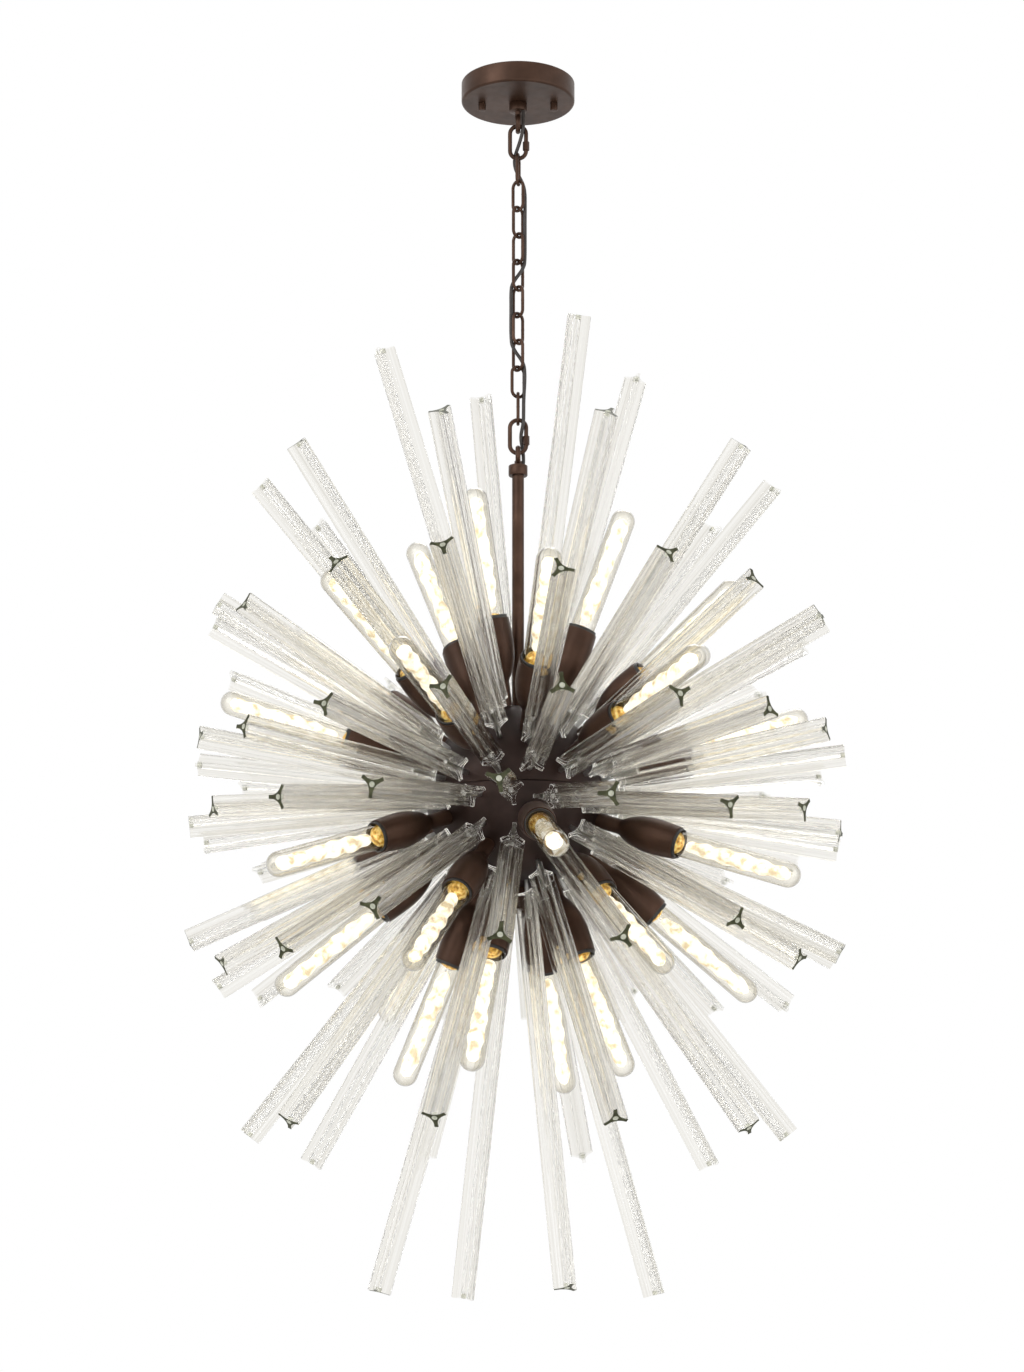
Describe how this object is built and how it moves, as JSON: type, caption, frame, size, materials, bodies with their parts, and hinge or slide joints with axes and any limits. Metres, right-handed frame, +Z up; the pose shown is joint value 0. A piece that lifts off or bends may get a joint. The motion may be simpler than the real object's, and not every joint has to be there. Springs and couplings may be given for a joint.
{
  "type": "sputnik chandelier",
  "caption": "Hanging chandelier: a dark metal ball with star-section clear glass rods and tube lamps pointing out all round, on a stem, chain and ceiling canopy.",
  "frame": {"origin": "centre of the canopy's rim on the ceiling, between the crossbar's slots", "axes": "+Z up into the ceiling, +X along the crossbar, -Y towards the front"},
  "size_m": [0.7862, 0.7832, 1.4957],
  "materials": {
    "bronze": "satin",
    "rod_glass": "gloss",
    "bulb_glass": "gloss",
    "lamp_base": "satin",
    "holder_black": "matte",
    "steel": "satin",
    "cord": "matte"
  },
  "bodies": {
    "canopy": {"canopy_cover": "bronze", "crossbar": "steel", "mounting_screws": "steel", "cap_nuts": "bronze", "canopy_nipple": "steel", "canopy_lock_nut": "steel", "canopy_loop": "bronze", "supply_cord": "cord"},
    "quick_upper": {"quick_link_upper": "bronze"},
    "sleeve_upper": {"quick_link_upper_sleeve": "bronze"},
    "link_01": {"chain_link_01": "bronze"},
    "link_02": {"chain_link_02": "bronze"},
    "link_03": {"chain_link_03": "bronze"},
    "link_04": {"chain_link_04": "bronze"},
    "link_05": {"chain_link_05": "bronze"},
    "link_06": {"chain_link_06": "bronze"},
    "link_07": {"chain_link_07": "bronze"},
    "link_08": {"chain_link_08": "bronze"},
    "link_09": {"chain_link_09": "bronze"},
    "link_10": {"chain_link_10": "bronze"},
    "quick_lower": {"quick_link_lower": "bronze"},
    "sleeve_lower": {"quick_link_lower_sleeve": "bronze"},
    "fixture": {"stem_loop": "bronze", "stem_tube": "bronze", "hub_shell_upper": "bronze", "hub_shell_lower": "bronze", "hub_centre_tube": "steel", "hub_top_nut": "steel", "hub_bottom_nut": "steel", "bottom_finial": "bronze", "glass_rods_top_1": "rod_glass", "glass_rods_top_2": "rod_glass", "glass_rods_top_3": "rod_glass", "glass_rods_top_4": "rod_glass", "glass_rods_low_4": "rod_glass", "glass_rods_low_3": "rod_glass", "glass_rods_low_2": "rod_glass", "glass_rods_low_1": "rod_glass", "rod_pins_upper": "steel", "rod_pins_lower": "steel", "lamp_cups_top_1": "bronze", "lamp_cups_top_2": "bronze", "lamp_cups_top_3": "bronze", "lamp_cups_low_3": "bronze", "lamp_cups_low_2": "bronze", "lamp_cups_low_1": "bronze", "lamp_holders_upper": "holder_black", "lamp_holders_lower": "holder_black", "bulb_bases_upper": "lamp_base", "bulb_bases_lower": "lamp_base", "bulbs_top_1": "bulb_glass", "bulbs_top_2": "bulb_glass", "bulbs_top_3": "bulb_glass", "bulbs_low_3": "bulb_glass", "bulbs_low_2": "bulb_glass", "bulbs_low_1": "bulb_glass"}
  },
  "joints": [
    {"name": "quick_upper_swing", "type": "hinge", "parent": "canopy", "child": "quick_upper", "pos_m": [0, 0, -0.0605], "axis": [0, 1, 0], "range_deg": [-20, 20], "deforming": ["supply_cord"]},
    {"name": "sleeve_upper_slide", "type": "slide", "parent": "quick_upper", "child": "sleeve_upper", "axis": [0, 0, 1], "range_m": [0, 0.009]},
    {"name": "link_01_swing", "type": "hinge", "parent": "quick_upper", "child": "link_01", "pos_m": [0, 0, -0.0962], "axis": [1, 0, 0], "range_deg": [-10, 10]},
    {"name": "link_02_swing", "type": "hinge", "parent": "link_01", "child": "link_02", "pos_m": [0, 0, -0.1296], "axis": [0.1736, 0.9848, 0], "range_deg": [-10, 10]},
    {"name": "link_03_swing", "type": "hinge", "parent": "link_02", "child": "link_03", "pos_m": [0, 0, -0.1636], "axis": [0.766, -0.6428, 0], "range_deg": [-10, 10]},
    {"name": "link_04_swing", "type": "hinge", "parent": "link_03", "child": "link_04", "pos_m": [0, 0, -0.1976], "axis": [0.7071, 0.7071, 0], "range_deg": [-10, 10]},
    {"name": "link_05_swing", "type": "hinge", "parent": "link_04", "child": "link_05", "pos_m": [0, 0, -0.2316], "axis": [0.7071, -0.7071, 0], "range_deg": [-10, 10]},
    {"name": "link_06_swing", "type": "hinge", "parent": "link_05", "child": "link_06", "pos_m": [0, 0, -0.2656], "axis": [0.7071, 0.7071, 0], "range_deg": [-10, 10]},
    {"name": "link_07_swing", "type": "hinge", "parent": "link_06", "child": "link_07", "pos_m": [0, 0, -0.2996], "axis": [0.7071, -0.7071, 0], "range_deg": [-10, 10]},
    {"name": "link_08_swing", "type": "hinge", "parent": "link_07", "child": "link_08", "pos_m": [0, 0, -0.3336], "axis": [0.7071, 0.7071, 0], "range_deg": [-10, 10]},
    {"name": "link_09_swing", "type": "hinge", "parent": "link_08", "child": "link_09", "pos_m": [0, 0, -0.3676], "axis": [0.7071, -0.7071, 0], "range_deg": [-10, 10]},
    {"name": "link_10_swing", "type": "hinge", "parent": "link_09", "child": "link_10", "pos_m": [0, 0, -0.4016], "axis": [0.9135, 0.4067, 0], "range_deg": [-10, 10]},
    {"name": "quick_lower_swing", "type": "hinge", "parent": "link_10", "child": "quick_lower", "pos_m": [0, 0, -0.4356], "axis": [0, 1, 0], "range_deg": [-10, 10]},
    {"name": "sleeve_lower_slide", "type": "slide", "parent": "quick_lower", "child": "sleeve_lower", "axis": [0, 0, 1], "range_m": [0, 0.009]},
    {"name": "fixture_swing", "type": "hinge", "parent": "quick_lower", "child": "fixture", "pos_m": [0, 0, -0.4725], "axis": [1, 0, 0], "range_deg": [-20, 20]}
  ]
}
